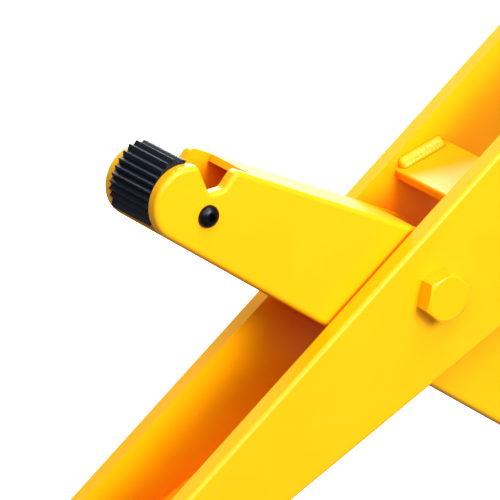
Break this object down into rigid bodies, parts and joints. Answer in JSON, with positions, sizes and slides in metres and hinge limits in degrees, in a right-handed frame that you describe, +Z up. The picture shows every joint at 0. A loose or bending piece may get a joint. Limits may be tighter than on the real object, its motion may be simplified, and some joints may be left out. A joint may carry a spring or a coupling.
{
  "type": "wheel chock",
  "caption": "Scissor wheel chock: two crossed yellow steel channel arms on one pivot bolt, with ribbed rubber noses held in the ears at the arm ends.",
  "frame": {"origin": "ground level, straight below the pivot axis, half way across the outer arm's width", "axes": "+X from the low end of the outer arm towards its high end, +Y from the bolt head side to the nut side, +Z up"},
  "size_m": [0.2734, 0.1058, 0.2117],
  "materials": {
    "yellow_coat": "satin powder coat over steel",
    "zinc_steel": "bright zinc plate",
    "bright_steel": "bare ground steel",
    "black_steel": "black oxide",
    "nose_rubber": "moulded black rubber",
    "bush_nylon": "black nylon",
    "knob_plastic": "moulded black plastic"
  },
  "bodies": {
    "outer_body": {"outer_arm": "yellow_coat", "step_plate": "yellow_coat", "step_weld_near": "yellow_coat", "step_weld_far": "yellow_coat", "pivot_bolt": "yellow_coat", "pivot_tube": "zinc_steel", "pivot_washer": "zinc_steel", "pivot_nut": "zinc_steel", "plunger_body": "black_steel", "plunger_spring": "bright_steel", "nose_outer_low": "nose_rubber", "nose_screw_outer_low": "black_steel", "nose_nut_outer_low": "zinc_steel", "nose_outer_high": "nose_rubber", "nose_screw_outer_high": "black_steel", "nose_nut_outer_high": "zinc_steel"},
    "inner_body": {"inner_arm": "yellow_coat", "pivot_bush_near": "bush_nylon", "pivot_bush_far": "bush_nylon", "nose_inner_high": "nose_rubber", "nose_screw_inner_high": "black_steel", "nose_nut_inner_high": "zinc_steel", "nose_inner_low": "nose_rubber", "nose_screw_inner_low": "black_steel", "nose_nut_inner_low": "zinc_steel"},
    "plunger": {"plunger_pin": "bright_steel", "plunger_knob": "knob_plastic"}
  },
  "joints": [
    {"name": "scissor_pivot", "type": "hinge", "parent": "outer_body", "child": "inner_body", "pos_m": [0, 0, 0.10879], "axis": [0, 1, 0], "range_deg": [-40, 20]},
    {"name": "plunger_slide", "type": "slide", "parent": "outer_body", "child": "plunger", "axis": [0, -1, 0], "range_m": [0, 0.007], "deforming": ["plunger_spring"]}
  ]
}
